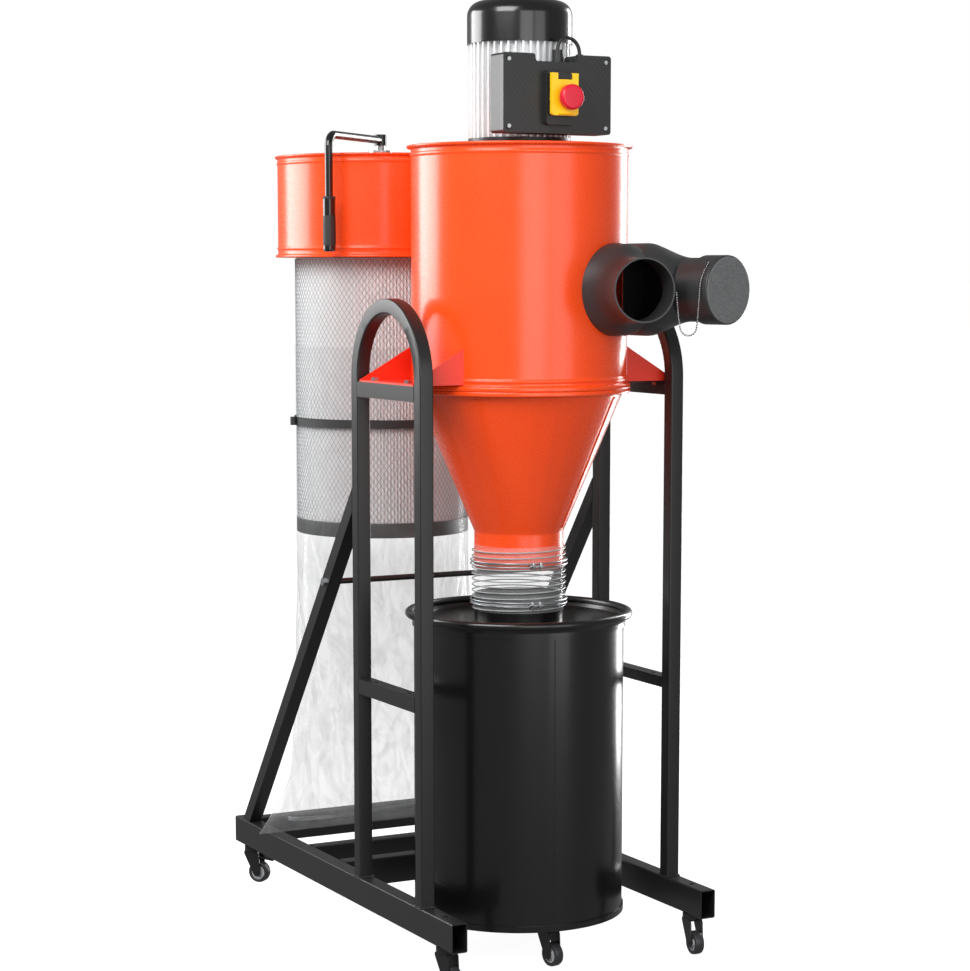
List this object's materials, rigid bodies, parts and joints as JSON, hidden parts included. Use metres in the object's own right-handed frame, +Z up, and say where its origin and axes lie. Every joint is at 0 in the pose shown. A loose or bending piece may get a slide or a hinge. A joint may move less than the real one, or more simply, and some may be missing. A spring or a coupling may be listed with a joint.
{
  "type": "cyclone dust collector",
  "caption": "Two-stage workshop dust collector: motor-driven cyclone over a roll-out drum, with a crank-cleaned filter and dust bag on a wheeled frame.",
  "frame": {"origin": "on the floor, straight under the cyclone's axis", "axes": "+X the machine's right, +Y its back, towards the filter, +Z up"},
  "size_m": [0.5146, 1.0413, 1.572],
  "materials": {
    "orange_paint": "gloss",
    "bracket_paint": "gloss",
    "black_paint": "satin",
    "zinc": "satin",
    "chrome_wire": "polished",
    "motor_alloy": "satin",
    "stator_iron": "matte",
    "charcoal_plastic": "matte",
    "black_plastic": "gloss",
    "yellow_plastic": "gloss",
    "red_plastic": "gloss",
    "green_plastic": "gloss",
    "white_plastic": "satin",
    "clear_plastic": "clear, ribbed",
    "clear_film": "clear film",
    "filter_cloth": "pleated under a wire net",
    "strap_web": "woven",
    "black_rubber": "matte"
  },
  "bodies": {
    "machine": {"base_frame": "black_paint", "left_hoop": "black_paint", "right_hoop": "black_paint", "hoop_angles": "black_paint", "rear_braces": "black_paint", "tie_rod": "black_paint", "support_brackets": "bracket_paint", "cyclone_barrel": "orange_paint", "barrel_roof": "orange_paint", "cyclone_cone": "orange_paint", "vortex_finder": "zinc", "inlet_fitting": "charcoal_plastic", "outlet_duct": "orange_paint", "filter_housing": "orange_paint", "filter_cartridge": "filter_cloth", "dust_bag": "clear_film", "bag_strap": "strap_web", "shaft_bearings": "zinc", "motor_base": "black_paint", "motor_body": "motor_alloy", "motor_stator": "stator_iron", "fan_cowl": "black_plastic", "capacitor_box": "black_plastic", "capacitor_box_lid": "black_plastic", "capacitors": "white_plastic", "switch_housing": "black_plastic", "cable_glands": "black_plastic", "switch_cable": "black_rubber", "flex_hose": "clear_plastic", "upper_hose_clamp": "chrome_wire", "fasteners": "zinc", "cap_chain": "chrome_wire"},
    "motor_rotor": {"motor_rotor": "stator_iron", "impeller": "motor_alloy"},
    "crank": {"crank_arm": "black_paint", "filter_flapper": "zinc"},
    "port_cap": {"port_cap": "charcoal_plastic"},
    "switch_flap": {"switch_flap": "yellow_plastic"},
    "stop_mushroom": {"stop_mushroom": "red_plastic"},
    "start_button": {"start_button": "green_plastic"},
    "stop_button": {"stop_button": "red_plastic"},
    "drum_lid": {"drum_lid": "black_paint", "lower_hose_clamp": "chrome_wire"},
    "drum": {"drum_shell": "black_paint"},
    "front_left_fork": {"front_left_fork": "black_paint"},
    "front_left_wheel": {"front_left_wheel": "black_rubber"},
    "rear_left_fork": {"rear_left_fork": "black_paint"},
    "rear_left_wheel": {"rear_left_wheel": "black_rubber"},
    "front_right_fork": {"front_right_fork": "black_paint"},
    "front_right_wheel": {"front_right_wheel": "black_rubber"},
    "rear_right_fork": {"rear_right_fork": "black_paint"},
    "rear_right_wheel": {"rear_right_wheel": "black_rubber"},
    "drum_fork_1": {"drum_fork_1": "black_paint"},
    "drum_wheel_1": {"drum_wheel_1": "black_rubber"},
    "drum_fork_2": {"drum_fork_2": "black_paint"},
    "drum_wheel_2": {"drum_wheel_2": "black_rubber"},
    "drum_fork_3": {"drum_fork_3": "black_paint"},
    "drum_wheel_3": {"drum_wheel_3": "black_rubber"},
    "rear_left_brake": {"rear_left_brake": "black_plastic"},
    "rear_right_brake": {"rear_right_brake": "black_plastic"}
  },
  "joints": [
    {"name": "motor_spin", "type": "hinge", "parent": "machine", "child": "motor_rotor", "pos_m": [0, 0, 1.4], "axis": [0, 0, 1], "continuous": true},
    {"name": "crank_turn", "type": "hinge", "parent": "machine", "child": "crank", "pos_m": [0, 0.531, 1.374], "axis": [0, 0, 1], "range_deg": [-260, 28]},
    {"name": "port_cap_pull", "type": "slide", "parent": "machine", "child": "port_cap", "axis": [0.309, -0.9511, 0], "range_m": [0, 0.06], "deforming": ["cap_chain"]},
    {"name": "switch_flap_hinge", "type": "hinge", "parent": "machine", "child": "switch_flap", "pos_m": [0, -0.1485, 1.443], "axis": [-1, 0, 0], "range_deg": [0, 90]},
    {"name": "stop_mushroom_push", "type": "slide", "parent": "switch_flap", "child": "stop_mushroom", "axis": [0, 1, 0], "range_m": [0, 0.004], "stiffness_N_per_m": 400, "springref_m": -0.003},
    {"name": "start_button_push", "type": "slide", "parent": "machine", "child": "start_button", "axis": [0, 1, 0], "range_m": [0, 0.003], "stiffness_N_per_m": 300, "springref_m": -0.003},
    {"name": "stop_button_push", "type": "slide", "parent": "machine", "child": "stop_button", "axis": [0, 1, 0], "range_m": [0, 0.003], "stiffness_N_per_m": 300, "springref_m": -0.003},
    {"name": "drum_lid_lift", "type": "slide", "parent": "machine", "child": "drum_lid", "axis": [0, 0, 1], "range_m": [0, 0.035], "deforming": ["flex_hose"]},
    {"name": "drum_roll_out", "type": "slide", "parent": "machine", "child": "drum", "axis": [0, -1, 0], "range_m": [0, 0.42]},
    {"name": "front_left_fork_swivel", "type": "hinge", "parent": "machine", "child": "front_left_fork", "pos_m": [-0.232, -0.184, 0.064], "axis": [0, 0, 1], "continuous": true},
    {"name": "front_left_wheel_roll", "type": "hinge", "parent": "front_left_fork", "child": "front_left_wheel", "pos_m": [-0.22838, -0.19752, 0.02], "axis": [0.9659, 0.2588, 0], "continuous": true},
    {"name": "rear_left_fork_swivel", "type": "hinge", "parent": "machine", "child": "rear_left_fork", "pos_m": [-0.232, 0.618, 0.064], "axis": [0, 0, 1], "continuous": true},
    {"name": "rear_left_wheel_roll", "type": "hinge", "parent": "rear_left_fork", "child": "rear_left_wheel", "pos_m": [-0.223, 0.60728, 0.02], "axis": [0.766, 0.6428, 0], "continuous": true},
    {"name": "rear_left_brake_press", "type": "hinge", "parent": "rear_left_fork", "child": "rear_left_brake", "pos_m": [-0.22814, 0.6134, 0.05], "axis": [0.766, 0.6428, 0], "range_deg": [0, 18]},
    {"name": "front_right_fork_swivel", "type": "hinge", "parent": "machine", "child": "front_right_fork", "pos_m": [0.232, -0.184, 0.064], "axis": [0, 0, 1], "continuous": true},
    {"name": "front_right_wheel_roll", "type": "hinge", "parent": "front_right_fork", "child": "front_right_wheel", "pos_m": [0.23078, -0.19795, 0.02], "axis": [0.9962, -0.0872, 0], "continuous": true},
    {"name": "rear_right_fork_swivel", "type": "hinge", "parent": "machine", "child": "rear_right_fork", "pos_m": [0.232, 0.618, 0.064], "axis": [0, 0, 1], "continuous": true},
    {"name": "rear_right_wheel_roll", "type": "hinge", "parent": "rear_right_fork", "child": "rear_right_wheel", "pos_m": [0.22721, 0.60484, 0.02], "axis": [0.9397, -0.342, 0], "continuous": true},
    {"name": "rear_right_brake_press", "type": "hinge", "parent": "rear_right_fork", "child": "rear_right_brake", "pos_m": [0.22995, 0.61236, 0.05], "axis": [0.9397, -0.342, 0], "range_deg": [0, 18]},
    {"name": "drum_fork_1_swivel", "type": "hinge", "parent": "drum", "child": "drum_fork_1", "pos_m": [-0.01921, -0.13666, 0.064], "axis": [0, 0, 1], "continuous": true},
    {"name": "drum_wheel_1_roll", "type": "hinge", "parent": "drum_fork_1", "child": "drum_wheel_1", "pos_m": [-0.01678, -0.15044, 0.02], "axis": [0.9848, 0.1736, 0], "continuous": true},
    {"name": "drum_fork_2_swivel", "type": "hinge", "parent": "drum", "child": "drum_fork_2", "pos_m": [0.12795, 0.0517, 0.064], "axis": [0, 0, 1], "continuous": true},
    {"name": "drum_wheel_2_roll", "type": "hinge", "parent": "drum_fork_2", "child": "drum_wheel_2", "pos_m": [0.13495, 0.06382, 0.02], "axis": [-0.866, 0.5, 0], "continuous": true},
    {"name": "drum_fork_3_swivel", "type": "hinge", "parent": "drum", "child": "drum_fork_3", "pos_m": [-0.10874, 0.08496, 0.064], "axis": [0, 0, 1], "continuous": true},
    {"name": "drum_wheel_3_roll", "type": "hinge", "parent": "drum_fork_3", "child": "drum_wheel_3", "pos_m": [-0.12087, 0.09196, 0.02], "axis": [-0.5, -0.866, 0], "continuous": true}
  ]
}
